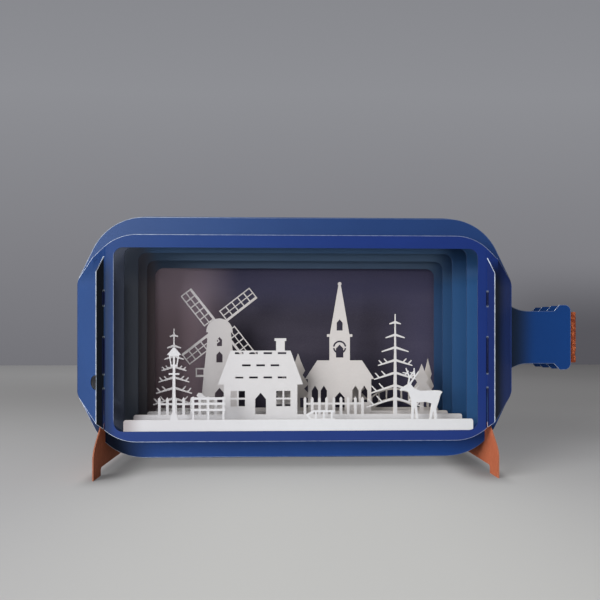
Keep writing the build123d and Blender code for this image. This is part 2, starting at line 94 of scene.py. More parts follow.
class Value:
    """A socket in a finish. Arithmetic on it adds Math nodes to that finish."""

    def __init__(self, finish, socket):
        self.finish = finish
        self.socket = socket

    def math(self, operation, *terms):
        """Adds one Math node on these terms."""
        return self.finish.node("ShaderNodeMath", {"operation": operation}, dict(enumerate(terms)))

    def __add__(self, other):
        return self.math("ADD", self, other)

    def __radd__(self, other):
        return self.math("ADD", other, self)

    def __sub__(self, other):
        return self.math("SUBTRACT", self, other)

    def __rsub__(self, other):
        return self.math("SUBTRACT", other, self)

    def __mul__(self, other):
        return self.math("MULTIPLY", self, other)

    def __rmul__(self, other):
        return self.math("MULTIPLY", other, self)

    def __truediv__(self, other):
        return self.math("DIVIDE", self, other)

    def __abs__(self):
        return self.math("ABSOLUTE", self)

    def __lt__(self, other):
        return self.math("LESS_THAN", self, other)

    def __gt__(self, other):
        return self.math("GREATER_THAN", self, other)

    def least(self, other):
        """The smaller of the two."""
        return self.math("MINIMUM", self, other)

    def most(self, other):
        """The larger of the two."""
        return self.math("MAXIMUM", self, other)

    def root(self):
        """The square root."""
        return self.math("SQRT", self)

    def between(self, start, end):
        """0 up to start and 1 from end on, with a smooth rise; start may be the larger one."""
        settings = {"interpolation_type": "SMOOTHSTEP"}
        return self.finish.node("ShaderNodeMapRange", settings, {0: self, 1: start, 2: end})


class Finish:
    """A material with one Principled shader, whose varying sockets are given as Values."""

    def __init__(self, name, **constants):
        self.material = bpy.data.materials.new(name)
        self.material.use_nodes = True
        self.tree = self.material.node_tree
        self.tree.nodes.clear()
        self.shader = self.tree.nodes.new("ShaderNodeBsdfPrincipled")
        end = self.tree.nodes.new("ShaderNodeOutputMaterial")
        self.tree.links.new(self.shader.outputs[0], end.inputs[0])
        for socket, value in constants.items():
            self.shader.inputs[socket.replace("_", " ")].default_value = value
        self.coordinates = self.node("ShaderNodeTexCoord", outputs=["Object"])

    def node(self, kind, settings=None, sockets=None, outputs=(0,)):
        """Adds a node: its settings first, then its sockets. Gives back the named outputs."""
        made = self.tree.nodes.new(kind)
        for name, value in (settings or {}).items():
            if name == "stops":
                self.fill_ramp(made.color_ramp, value)
            else:
                setattr(made, name, value)
        for name, value in (sockets or {}).items():
            if isinstance(value, Value):
                self.tree.links.new(value.socket, made.inputs[name])
            else:
                made.inputs[name].default_value = value
        values = [Value(self, made.outputs[name]) for name in outputs]
        return values[0] if len(values) == 1 else values

    @staticmethod
    def fill_ramp(ramp, stops):
        """Gives a ramp its stops, each a place from 0 to 1 and a colour."""
        while len(ramp.elements) < len(stops):
            ramp.elements.new(1.0)
        for element, (place, colour) in zip(ramp.elements, stops):
            element.position = place
            element.color = colour

    def place(self):
        """x, y and z of the shaded point in this script's millimetres."""
        x, y, z = self.node("ShaderNodeSeparateXYZ", sockets={0: self.coordinates}, outputs=[0, 1, 2])
        return (x - MIDDLE_X) / MM, (y - FRONT_Y) / MM, z / MM

    def facing(self):
        """The direction that the flat face looks in, as x, y and z."""
        normal = self.node("ShaderNodeNewGeometry", outputs=["True Normal"])
        return self.node("ShaderNodeSeparateXYZ", sockets={0: normal}, outputs=[0, 1, 2])

    def grain(self, size, detail=2.0, stretch=(1, 1, 1), offset=0.0):
        """Noise from 0 to 1 with blotches of that size in millimetres, stretched along each axis."""
        scale = [1 / (size * MM * s) for s in stretch]
        sockets = {"Vector": self.coordinates, "Location": (offset, offset, offset), "Scale": scale}
        vector = self.node("ShaderNodeMapping", sockets=sockets)
        sockets = {"Vector": vector, "Scale": 1.0, "Detail": detail, "Roughness": 0.55}
        return self.node("ShaderNodeTexNoise", sockets=sockets)

    def mix(self, factor, first, second, blend="MIX"):
        """A colour between first and second."""
        settings = {"data_type": "RGBA", "blend_type": blend}
        return self.node("ShaderNodeMix", settings, {0: factor, 6: first, 7: second}, [2])

    def ramp(self, factor, stops):
        """A colour read from stops at a factor from 0 to 1."""
        return self.node("ShaderNodeValToRGB", {"stops": stops}, {0: factor})

    def relief(self, height, depth):
        """A bump of a height from 0 to 1, that deep in millimetres."""
        sockets = {"Height": height, "Distance": depth * MM, "Strength": 1.0}
        self.feed("Normal", self.node("ShaderNodeBump", sockets=sockets))

    def feed(self, socket, value):
        """Links a value to a socket of the shader."""
        self.tree.links.new(value.socket, self.shader.inputs[socket])


def uneven(level, swing, grain):
    """A level that a grain from 0 to 1 sways by up to half its swing."""
    return level + swing * (grain - 0.5)


def zone(x, z, across, up):
    """A share that rises from 0 to 1 along a stretch across and along a stretch up."""
    return x.between(*across) * z.between(*up)


def rounded_distance(x, z, half, low, high, corner):
    """Distance to the edge of a rectangle with round corners, negative inside: the longer way out of
    the shrunken rectangle, less the corner's radius."""
    across = abs(x) - (half - corner)
    up = abs(z - (low + high) / 2) - ((high - low) / 2 - corner)
    outside = (across.most(0) * across.most(0) + up.most(0) * up.most(0)).root()
    return outside + across.most(up).least(0) - corner


def shouldered_distance(x, z, half, low, high, shoulder):
    """Distance to the edge of a long shape with slanted shoulders, negative inside: the farthest out
    of its end, its long edge, the slant and the circle that rounds the shoulder."""
    run, drop, radius = shoulder
    turn = math.atan2(drop, run)
    reach = abs(x)
    rise = abs(z - (low + high) / 2)
    top = (high - low) / 2
    slant = (reach - half) * math.sin(turn) + (rise - top + drop) * math.cos(turn)
    centre_x = half - run - radius * math.tan(turn / 2)
    centre_z = top - radius
    across = reach - centre_x
    up = rise - centre_z
    ring = (across * across + up * up).root() - radius
    sector = (across > 0) * ((up * math.sin(turn) - across * math.cos(turn)) > 0)
    straight = (reach - half).most(rise - top).most(slant)
    return straight + sector * (ring - straight)


# Printed card

CORE = shade(205, 214, 226)
# Pale tone of the outlines: rubbed paper and a painted highlight.
RUBBED_AND_LIT = shade(196, 206, 220)
PLAIN = shade(232, 232, 230)
SHEEN = 0.2
MATT_ROUGHNESS = 0.4

# How much of a face's direction lies along an axis: below EDGE_ON it is a cut face of a sheet that
# looks along that axis, above AWAY it looks that way at all, above SQUARE straight that way, and
# above CUT_END up or down, as the ends of a folded sheet do.
EDGE_ON = 0.5
AWAY = 0.3
SQUARE = 0.9
CUT_END = 0.35


def printed_card(name, ink_of, distance, cut, plain, worn_and_lit, matt_of):
    """Blue printed card. Its print is ink_of(finish, place), with clouds and specks; its outline is
    made pale by the rim share, rubbed and partly a painted highlight, its plain side is unprinted
    paper, its print loses its sheen by the matt share, and its cut faces show the paper inside pale at
    the outline, and elsewhere are painted dark as shade inside the windows and slits."""
    finish = Finish(name, Specular_IOR_Level=SHEEN)
    place = finish.place()
    x, _, z = place
    look = finish.facing()
    ink = ink_of(finish, place)
    clouds = finish.mix(finish.grain(38, 3.0), shade(222, 222, 226), shade(255, 255, 255))
    ink = finish.mix(1.0, ink, clouds, "MULTIPLY")
    speck = finish.grain(0.28, 2.0)
    matt = matt_of(place)
    ink = finish.mix((speck - 0.42).most(0) * 0.3 * (1 - matt), ink, shade(58, 84, 150))
    fibres = finish.grain(0.9, 3.0, stretch=(3.2, 1, 0.8), offset=3.0)
    rub = finish.grain(2.2, 4.0, offset=7.0).between(0.3, 0.62)
    outer = distance(x, z)
    # The pale rim: rubbed paper, and partly a painted highlight that is brightest at the left.
    rim = worn_and_lit(place, outer) * (0.55 + 0.45 * rub)
    ink = finish.mix(rim, ink, RUBBED_AND_LIT)
    # Cut faces: pale paper near the outline, and elsewhere painted dark as shade inside the windows and
    # slits.
    cut_paper_and_shade = finish.mix(outer.between(-2.5, -1.2), shade(16, 28, 66), CORE)
    edge = cut(x, look)
    colour = finish.mix(edge, ink, finish.mix(fibres * 0.3, cut_paper_and_shade, shade(110, 120, 140)))
    side = plain(place, look)
    colour = finish.mix(side, colour, finish.mix(fibres, shade(214, 214, 212), PLAIN))
    finish.feed("Base Color", colour)
    rough = edge.most(side).most(matt)
    finish.feed("Roughness", uneven(0.5, 0.12, fibres) + MATT_ROUGHNESS * rough)
    finish.relief(speck * 0.55 + fibres * 0.45, 0.018)
    return finish.material


def flat_cut(x, look):
    """Cut faces of a flat upright sheet: all that doesn't look forwards or back."""
    return abs(look[1]) < EDGE_ON


def folded_cut(x, look):
    """Cut faces of a sheet with slanted sides: all that looks up, down or, apart from the outermost
    fold, straight to a side."""
    return (abs(look[2]) > CUT_END).most((abs(look[1]) < AWAY) * (abs(x) < OUTER_FOLD))


# Shares of the print that both kinds of sheet use

def slanted(x, z):
    """From 0 at the left end of the body to 1 at its right end, sooner higher up. The print darkens
    along it, partly as painted shade, with the light falling from the left.
    """
    return (x + 0.35 * z).between(-BODY_HALF, BODY_HALF)


def low_down(z):
    """The share of the lower tone."""
    return z.between(60, 10) * 0.8


def right_half(x):
    """From 0 in the left half to 1 in the right half."""
    return x.between(-20, 20)


def rubbed_and_lit_rim(outer):
    """The line along an outline where the print is rubbed through, and which partly stands for a
    painted highlight.
    """
    return outer.between(-0.28, -0.1)


def left_rim_light(x):
    """From 0 right of the middle to 1 at the left side, where painted light makes the pale outlines
    brighter.
    """
    return x.between(20, -90)


# Front and back sheets, whose sides are folded back

SLITS = [(22.4, 43.8), (50.8, 69.3), (84.8, 92.3)]
# How wide the painted shade along each slit is, and the pale paper nick at each slit's ends.
SLIT_SHADE = (0.85, 0.5)
SLIT_NICK = (0.6, 0.3)
# Where the left ridge's shadow is painted on the face's left border.
BORDER_SHADOW = ((-89.5, -95), (114, 98))
FLAP_Y = 9.3
FLAP_REACH = BODY_HALF - 0.8
DEPTH = 55.4


def face_distance(x, z):
    """Distance to the front sheet's outline, negative inside."""
    return shouldered_distance(x, z, BODY_HALF, FACE_LOW.z, FACE_HIGH.z, FACE_SHOULDER)


def ridge_edge(z):
    """How far out the ridge beside the pleat runs: it runs in to the fold at its upper end."""
    taper = (z - RIDGE_TOP) / (PLEAT_TOP - RIDGE_TOP)
    return RIDGE_X - (RIDGE_X - FOLD_X) * taper.most(0).least(1)


def folded_ink(finish, place):
    """Deep blue print with painted light and shade: darker to the right in part, near black in the left
    pleat, dark on the left border beside the ridge, along the folds and on the right wing beside the
    right pleat, with the left wing and the right pleat as lit copies, and painted shade along the
    slits, whose ends show pale paper.
    """
    x, y, z = place
    reach = abs(x)
    # Darker towards the right: partly painted shade, with the light falling from the left.
    ink = finish.mix(slanted(x, z), shade(24, 61, 116), shade(18, 45, 113))
    ink = finish.mix(low_down(z), ink, shade(30, 52, 116))
    # Painted shadow of the left ridge on the face's left border.
    ink = finish.mix(zone(x, z, *BORDER_SHADOW) * 0.8, ink, shade(23, 42, 66))
    # Painted shade along the folds.
    ink = finish.mix(reach.between(FOLD_X - 4, FOLD_X + 4) * 0.2, ink, shade(14, 32, 80))
    to_right = right_half(x)
    # Painted light and shade on the wings: the right wing near black beside its ridge, lighter
    # outwards, and the left wing a lit copy.
    shaded_right_wing = finish.mix(x.between(100, 109), shade(10, 25, 32), shade(42, 66, 132))
    wing = (reach > ridge_edge(z)) * z.between(PLEAT_TOP + 2, RIDGE_TOP - 8)
    ink = finish.mix(wing, ink, finish.mix(to_right, shade(27, 58, 106), shaded_right_wing))
    # Painted shade: the left pleat is near black in shade, and the right pleat is a lit copy.
    pleat = (reach > FOLD_X) * (reach < ridge_edge(z)) * (z < PLEAT_TOP)
    ink = finish.mix(pleat, ink, finish.mix(to_right, shade(6, 14, 24), shade(14, 34, 88)))
    near = abs(reach - FOLD_X)
    in_front = y < DEPTH / 2
    # Painted shade along each slit, where it opens; pale paper shows at its ends.
    for low, high in SLITS:
        slit_shade = near.between(*SLIT_SHADE) * (z > low) * (z < high)
        ink = finish.mix(slit_shade * in_front * 0.95, ink, shade(2, 14, 58))
        from_end = abs(abs(z - (low + high) / 2) - (high - low) / 2)
        nick = near.between(*SLIT_NICK) * from_end.between(*SLIT_NICK)
        ink = finish.mix(nick * in_front * 0.4, ink, shade(150, 160, 160))
    return ink


def folded_matt(place):
    """The pleats and the bends above them have lost their sheen."""
    x, _, z = place
    bend = abs(x).between(FOLD_X - 3, FOLD_X + 2) * z.between(RIDGE_TOP - 8, RIDGE_TOP)
    return bend.most((abs(x) > FOLD_X - 0.8) * (abs(x) < ridge_edge(z)))


def even_sheen(place):
    """No matt share: a sheet whose print is as glossy all over."""
    return place[0] * 0


def folded_wear_and_light(place, outer):
    """Pale outline, ridges and left window edge: rubbed wear, with a painted highlight in the outline,
    stronger at the left, and in the window edge; the outermost fold isn't a cut edge.
    """
    x, y, z = place
    rim = rubbed_and_lit_rim(outer) * (abs(x) < OUTER_FOLD)
    ridge = abs(abs(x) - ridge_edge(z)).between(0.32, 0.12) * (z < PLEAT_TOP)
    # The pale left window edge is partly a painted highlight.
    window_edge = (x + WINDOW_HALF).between(-0.35, -0.1) * (x < -WINDOW_HALF + 0.1) * (y < 1)
    window_edge = window_edge * z.between(26, 30) * z.between(112, 108)
    return (rim * (0.45 + 0.4 * left_rim_light(x))).most(ridge * 0.9).most(window_edge * 0.35)


def front_plain(place, look):
    """The front sheet's unprinted side: all that looks back, and the forward face of its flaps."""
    flap = (place[1] > FLAP_Y) * (abs(place[0]) < FLAP_REACH)
    return (look[1] > AWAY).most(flap * (look[1] < -SQUARE))


def back_plain(place, look):
    """The back sheet's unprinted side: the same, mirrored from front to back."""
    flap = (place[1] < DEPTH - FLAP_Y) * (abs(place[0]) < FLAP_REACH)
    return (look[1] < -AWAY).most(flap * (look[1] > SQUARE))


# Bottle sheets

# Zones of painted light and shade on the bottle sheets: the front sheet's shadow in the lower left
# corner outside and inside, the tone under the top border at the left, the upper corners inside, and
# the wing's shadow at the neck's root.
LOWER_LEFT_SHADOW = ((-70, -94), (34, 20))
INNER_LOWER_LEFT = ((-78, -88), (42, 28))
INNER_ABOVE = ((-88, -76), (98, 110))
INNER_CORNERS = ((74, 86), (94, 108))
NECK_ROOT_X = 110
NECK_PRINT = (112, 126)
NECK_SHADE = (126, 113)
FACE_MARGIN = -2
GLUE_X = 101
GLUE_MARGIN = -3


def bottle_distance(node):
    """Distance to a bottle sheet's outline, negative inside: the nearer of the body and the neck,
    which widens to its root and to its lip."""
    low, high = millimetres(node)
    middle = (low.z + high.z) / 2
    growth = -low.x - BODY_HALF
    run, drop, radius = BODY_SHOULDER
    turn = math.atan2(drop, run)
    wider = growth * (1 - math.tan(turn / 2))
    deeper = growth * (1 - math.tan(math.pi / 4 - turn / 2))
    shoulder = (run + wider, drop + deeper, radius + growth)
    flare_length, flare_growth = FLARE

    def distance(x, z):
        body = shouldered_distance(x, z, -low.x, low.z, high.z, shoulder)
        flare = (1 - (x + low.x) / flare_length).most(0).least(1)
        lip = ((x - high.x + LIP_LENGTH) / LIP_SLOPE).most(0).least(1)
        half = NECK_HALF + flare_growth * flare * flare + (LIP_HALF - NECK_HALF) * lip
        mouth = rounded_distance(x, z, high.x, middle - LIP_HALF, middle + LIP_HALF, LIP_CORNER)
        return body.least(mouth.most(abs(z - middle) - half))
    return distance


def bottle_ink(outside, inside):
    """Ink of a bottle sheet: outside tones for left, right, below and neck, inside the front sheet's
    outline tones for left, right, above and both upper corners; dark at the neck's root and in the
    lower left corner. The tones are lit and shaded copies of the print's blue, painted light from the
    left, and the dark root and corner are painted shadow."""
    left, right, below, neck = outside
    inner_left, inner_right, above, left_corner, right_corner = inside

    def ink_of(finish, place):
        x, _, z = place
        # Darker towards the right: partly painted shade, with the light falling from the left.
        ink = finish.mix(slanted(x, z), left, right)
        ink = finish.mix(low_down(z), ink, below)
        # Painted shadow of the front sheet in the lower left corner.
        ink = finish.mix(zone(x, z, *LOWER_LEFT_SHADOW) * 0.9, ink, shade(4, 20, 32))
        ink = finish.mix(x.between(*NECK_PRINT), ink, neck)
        # Painted shadow of the right wing across the neck's root.
        root = (x > NECK_ROOT_X) * x.between(*NECK_SHADE)
        ink = finish.mix(root * 0.9, ink, shade(3, 22, 34))
        # Inside the front sheet's outline: painted light and shade, grey and dark on the left, lit on
        # the right, with their own tones above and in the upper corners, and the lower left shaded.
        inner = finish.mix(x.between(-70, 70), inner_left, inner_right)
        inner = finish.mix(zone(x, z, *INNER_ABOVE), inner, above)
        corner = finish.mix(right_half(x), left_corner, right_corner)
        inner = finish.mix(zone(abs(x), z, *INNER_CORNERS), inner, corner)
        inner = finish.mix(zone(x, z, *INNER_LOWER_LEFT) * 0.8, inner, left_corner)
        return finish.mix(face_distance(x, z) < FACE_MARGIN, ink, inner)
    return ink_of


def bottle_wear_and_light(strength):
    """Pale outline of a bottle sheet: rubbed wear, and a painted highlight that makes it brighter on
    the left than on the right.
    """
    def worn_and_lit(place, outer):
        return rubbed_and_lit_rim(outer) * (0.25 + 0.75 * left_rim_light(place[0])) * strength
    return worn_and_lit


def glue_strip(place, look):
    """Unprinted strips on the first bottle sheet, where the front sheet's flaps are glued on."""
    x, _, z = place
    return (abs(x) > GLUE_X) * (look[1] < -SQUARE) * (face_distance(x, z) < GLUE_MARGIN)


def no_plain(place, look):
    """A sheet that is printed all over: no face looks further back than straight back."""
    return look[1] > 2


def dress(node, material):
    """Gives a packed sheet its material."""
    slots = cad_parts[node].data.materials
    slots.clear()
    slots.append(material)


for sheet, plain in (("front_sheet", front_plain), ("back_sheet", back_plain)):
    looks = (folded_ink, face_distance, folded_cut, plain, folded_wear_and_light, folded_matt)
    dress(sheet, printed_card(f"printed_{sheet}", *looks))

# Tones of each bottle sheet from the first to the fourth: left, right and below outside, and left,
# right, above, upper left corner and upper right corner inside. The necks have one tone. The left and
# right tones are partly lit and shaded copies, painted light from the left, and the inside tones are
# painted light and shade within the front sheet's frame.
NECK_TONE = (6, 56, 117)
OUTSIDE_TONES = [
    [(51, 78, 126), (28, 58, 109), (18, 62, 131)],
    [(62, 76, 110), (30, 66, 116), (34, 64, 112)],
    [(64, 74, 100), (34, 66, 108), (40, 64, 104)],
    [(66, 70, 90), (36, 62, 100), (42, 60, 96)],
]
INSIDE_TONES = [
    [(96, 104, 122), (42, 83, 128), (104, 132, 184), (44, 50, 62), (26, 60, 96)],
    [(94, 100, 110), (40, 78, 120), (75, 106, 142), (76, 84, 96), (28, 58, 92)],
    [(104, 103, 108), (42, 76, 114), (80, 104, 130), (84, 84, 92), (38, 62, 92)],
    [(116, 104, 106), (42, 70, 105), (78, 98, 122), (100, 96, 102), (42, 66, 98)],
]
FIRST_WEAR = 0.75
OTHER_WEAR = 0.15

for sheet, outside, inside in zip(BOTTLE_SHEETS, OUTSIDE_TONES, INSIDE_TONES):
    tones = [[shade(*tone) for tone in side] for side in ([*outside, NECK_TONE], inside)]
    ink_of = bottle_ink(*tones)
    distance = bottle_distance(sheet)
    first = sheet == BOTTLE_SHEETS[0]
    plain = glue_strip if first else no_plain
    worn_and_lit = bottle_wear_and_light(FIRST_WEAR if first else OTHER_WEAR)
    name = f"printed_{sheet}"
    card = printed_card(name, ink_of, distance, flat_cut, plain, worn_and_lit, even_sheen)
    dress(sheet, card)


# Slate card of the hinge strips

def slate_card():
    """Dark blue card of the strips between the sheets, pale at its upper and lower cuts."""
    finish = Finish("slate_card")
    upwards = finish.facing()[2]
    fibres = finish.grain(0.8, 3.0, stretch=(1, 1, 3.0))
    cloud = finish.grain(14, 2.0)
    ink = finish.mix(cloud, shade(34, 48, 84), shade(48, 66, 108))
    ink = finish.mix(fibres * 0.35, ink, shade(78, 96, 132))
    finish.feed("Base Color", finish.mix(abs(upwards) > EDGE_ON, ink, CORE))
    finish.feed("Roughness", uneven(0.62, 0.15, fibres))
    finish.relief(fibres, 0.02)
    return finish.material


strips = slate_card()
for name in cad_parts:
    if "hinge_strip" in name:
        dress(name, strips)


# White paper of the cut-out pictures

def white_paper(name, tone, shadow, offset):
    """Uncoated white paper, greyer to the left as painted shade from the front sheet's frame: soft
    cloudy formation, fine fibres and slightly toasted cut faces."""
    finish = Finish(name)
    x = finish.place()[0]
    edge = abs(finish.facing()[1]) < EDGE_ON
    formation = finish.grain(5.5, 4.0, offset=offset)
    fibres = finish.grain(0.5, 3.0, stretch=(2.6, 1, 0.8), offset=offset + 2)
    sheet = finish.mix(formation * 0.5 + fibres * 0.5, tone, shadow)
    # Painted shade: greyer to the left and darkest at the far left, where the frame shades the layers.
    sheet = finish.mix(x.between(20, -72) * 0.7, sheet, shade(184, 183, 187))
    sheet = finish.mix(x.between(-76, -87) * 0.8, sheet, shade(136, 126, 128))
    finish.feed("Base Color", finish.mix(edge * 0.85, sheet, shade(196, 186, 172)))
    finish.feed("Roughness", uneven(0.78, 0.12, fibres))
    finish.relief(fibres * 0.6 + formation * 0.4, 0.03)
    return finish.material


# Tone and shadow of each layer, from the near to the far one; the far layers are greyer and warmer,
# partly painted shade.
WHITE_TONES = [
    ((209, 210, 213), (198, 199, 202)),
    ((203, 202, 203), (190, 189, 190)),
    ((196, 192, 190), (182, 178, 177)),
    ((187, 181, 177), (173, 168, 164)),
]
GRAIN_SHIFT = 4.0

for number, (layer, (tone, shadow)) in enumerate(zip(WHITE_LAYERS, WHITE_TONES)):
    paper = white_paper(f"white_{layer}", shade(*tone), shade(*shadow), GRAIN_SHIFT * number)
    dress(layer, paper)


# Backdrop with a printed dusk

def dusk_print():
    """Dusk behind the pictures: warm grey at the left side, deep violet from there on and darker low
    down, with faint banks of haze."""
    finish = Finish("dusk_print", Specular_IOR_Level=SHEEN)
    x, _, z = finish.place()
    edge = abs(finish.facing()[1]) < EDGE_ON
    sky = finish.mix(z.between(104, 78), shade(62, 61, 88), shade(46, 43, 57))
    sky = finish.mix(x.between(44, 76) * 0.5, sky, shade(70, 68, 96))
    left = finish.mix(z.between(104, 70), shade(176, 157, 170), shade(146, 127, 136))
    sky = finish.mix(x.between(-30, -72), sky, left)
    haze = finish.grain(26, 4.0, stretch=(3.0, 1, 0.7))
    sky = finish.mix((haze - 0.45).most(0) * 0.35, sky, shade(112, 104, 118))
    speck = finish.grain(0.3, 2.0)
    sky = finish.mix((speck - 0.4).most(0) * 0.2, sky, shade(150, 142, 156))
    finish.feed("Base Color", finish.mix(edge, sky, CORE))
    finish.feed("Roughness", uneven(0.6, 0.1, speck))
    finish.relief(speck, 0.015)
    return finish.material


dress("backdrop", dusk_print())


# Brown card of the stands

def brown_card(name, tones, core):
    """Rust-brown card with long fibres, dark flecks and another tone at its cuts."""
    finish = Finish(name, Specular_IOR_Level=SHEEN)
    edge = abs(finish.facing()[0]) < EDGE_ON
    fibres = finish.grain(0.7, 4.0, stretch=(1, 1, 4.0))
    cloud = finish.grain(9, 3.0)
    fleck = finish.grain(0.45, 1.0, offset=11.0)
    card = finish.mix(cloud, *tones)
    card = finish.mix(fibres.between(0.45, 0.75) * 0.35, card, shade(200, 126, 94))
    card = finish.mix(fleck.between(0.66, 0.72) * 0.5, card, shade(104, 50, 34))
    finish.feed("Base Color", finish.mix(edge * 0.8, card, core))
    finish.feed("Roughness", uneven(0.7, 0.15, fibres))
    finish.relief(fibres * 0.7 + fleck * 0.3, 0.03)
    return finish.material


# The left stand's cut faces are darker than the right one's: painted shade.
left_tones = (shade(148, 79, 52), shade(162, 93, 62))
right_tones = (shade(148, 76, 49), shade(165, 90, 60))
dress("left_stand", brown_card("left_brown_card", left_tones, shade(144, 90, 67)))
dress("right_stand", brown_card("right_brown_card", right_tones, shade(158, 100, 76)))


# Cork

LATTICE = 32
CORK_ROUND = 0.45
CORK_AROUND = 132
CORK_RINGS = 190
CAP_RINGS = 6
SECTION_POWERS = (0.25, 0.4)
# Each kind of pit: its cell, its seed, the noise level below which it starts, and its depth
CORK_PITS = [(1.3, 3, 0.42, 0.42), (0.5, 4, 0.38, 0.16)]
PIT_POWER = 0.7
CORK_GRAIN = 1.5


def lattice_noise(points, cell, seed):
    """Smooth noise from 0 to 1: random levels on a cubic lattice of that cell, with each point's value
    mixed from its eight corners by w = t * t * (3 - 2 * t), where t is the place within the cell."""
    levels = np.random.default_rng(seed).random((LATTICE, LATTICE, LATTICE))
    grid = points / cell
    base = np.floor(grid).astype(int)
    t = grid - base
    weight = t * t * (3 - 2 * t)
    total = np.zeros(len(points))
    for corner in np.ndindex(2, 2, 2):
        share = np.prod(np.where(corner, weight, 1 - weight), axis=1)
        place = (base + corner) % LATTICE
        total += share * levels[place[:, 0], place[:, 1], place[:, 2]]
    return total


def cork_rings(half):
    """The rings of the cork strip, as each one's height, inset and scale. Within r of an end a ring is
    inset by r - sqrt(r^2 - d^2), where d is the way into that rounding; on the end itself its scale
    goes evenly down to nothing."""
    radius = CORK_ROUND * MM
    rise = np.linspace(-1, 1, CORK_RINGS) * half[2]
    into = np.clip(np.abs(rise) - (half[2] - radius), 0, radius)
    inset = radius - np.sqrt(radius ** 2 - into ** 2)
    cap = np.linspace(0, 1, CAP_RINGS + 1)[:-1]
    flat = np.full(CAP_RINGS, half[2])
    full_inset = np.full(CAP_RINGS, radius)
    rise = np.concatenate([-flat, rise, flat])
    inset = np.concatenate([full_inset, inset, full_inset])
    scale = np.concatenate([cap, np.ones(CORK_RINGS), cap[::-1]])
    return rise, inset, scale


def pit_depth(points):
    """How deep the cork is pitted at each point: for each kind of pit,
    depth * max(0, 1 - noise / level)^0.7, where the noise is taken a metre out, so that its lattice
    has no negative places."""
    total = 0
    for cell, seed, level, depth in CORK_PITS:
        noise = lattice_noise(points + 1.0, cell * MM, seed)
        total = total + np.maximum(0, 1 - noise / level) ** PIT_POWER * depth
    return total * MM


def cork_strip():
    """The cork strip as one closed surface of (s, t). s runs round a section with round corners, the
    superellipse (|cos s|^0.25, |sin s|^0.4) scaled to half the strip's reach and thickness, and t runs
    up its rings. Pits go inwards across the strip, along (x / half reach^2, y / half thickness^2)."""
    low, high = (np.array(corner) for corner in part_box("cork"))
    middle = (low + high) / 2
    half = (high - low) / 2
    rise, inset, scale = cork_rings(half)
    s = np.arange(CORK_AROUND) / CORK_AROUND * 2 * math.pi
    across = np.sign(np.cos(s)) * np.abs(np.cos(s)) ** SECTION_POWERS[0]
    depth = np.sign(np.sin(s)) * np.abs(np.sin(s)) ** SECTION_POWERS[1]
    x = np.outer(scale * (half[0] - inset), across)
    y = np.outer(scale * (half[1] - inset), depth)
    z = np.repeat(rise[:, None], CORK_AROUND, axis=1)
    outwards = np.stack([x / half[0] ** 2, y / half[1] ** 2, np.zeros_like(z)], axis=-1)
    outwards /= np.maximum(np.linalg.norm(outwards, axis=-1, keepdims=True), 1e-9)
    points = np.stack([x, y, z], axis=-1)
    pits = pit_depth(points.reshape(-1, 3)).reshape(x.shape + (1,)) * scale[:, None, None]
    points = (points - outwards * pits + middle).reshape(-1, 3)
    here = np.arange(x.size).reshape(x.shape)[:-1]
    beside = np.roll(here, -1, axis=1)
    corners = [here, beside, beside + CORK_AROUND, here + CORK_AROUND]
    faces = np.stack(corners, axis=-1).reshape(-1, 4)
    mesh = bpy.data.meshes.new("cork_strip")
    mesh.from_pydata(points.tolist(), [], faces.tolist())
    mesh.polygons.foreach_set("use_smooth", [True] * len(faces))
    strip = bpy.data.objects.new("cork_strip", mesh)
    bpy.context.scene.collection.objects.link(strip)
    return strip


def cork_finish():
    """Pressed cork: grains of two browns, dark gaps between them and small deep brown flecks."""
    finish = Finish("pressed_cork", Specular_IOR_Level=SHEEN)
    sockets = {"Vector": finish.coordinates, "Scale": 1 / (CORK_GRAIN * MM), "Randomness": 1.0}
    cells = finish.node("ShaderNodeTexVoronoi", {"feature": "F1"}, sockets, ["Color"])
    tint = finish.node("ShaderNodeSeparateXYZ", sockets={0: cells})
    gap = finish.node("ShaderNodeTexVoronoi", {"feature": "DISTANCE_TO_EDGE"}, sockets)
    fine = finish.grain(0.35, 3.0)
    colour = finish.mix(tint, shade(120, 50, 26), shade(172, 92, 56))
    colour = finish.mix(gap.between(0.12, 0.02) * 0.6, colour, shade(76, 32, 18))
    colour = finish.mix(fine.between(0.56, 0.66) * 0.6, colour, shade(92, 40, 22))
    finish.feed("Base Color", colour)
    finish.feed("Roughness", uneven(0.82, 0.1, fine))
    finish.relief(gap.between(0.0, 0.16) * 0.6 + fine * 0.4, 0.1)
    return finish.material


cork = cork_finish()
dress("cork", cork)
strip = cork_strip()
strip.data.materials.append(cork)
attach(strip, "root")
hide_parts("cork")


# Camera, light and stage

CAMERA_DEPTH = 281.0
CAMERA_HEIGHT = 70.3
CAMERA_TURN = math.radians(1.72)
FOCAL_PIXELS = 561.6
PICTURE = 600
CENTRE_PIXEL = (297.5, 335.0)
SENSOR_WIDTH = 36.0

LAMP_SIZE = 0.9
KEY_PLACE = (-0.95, -0.75, 0.42)
KEY_AIM = (0, 0, 0.07)
KEY_POWER = 26
FILL_PLACE = (0.2, -1.3, 0.6)
FILL_AIM = (0, 0, 0.06)
FILL_POWER = 1
WORLD_TONE = (224, 220, 216)
WORLD_STRENGTH = 0.34

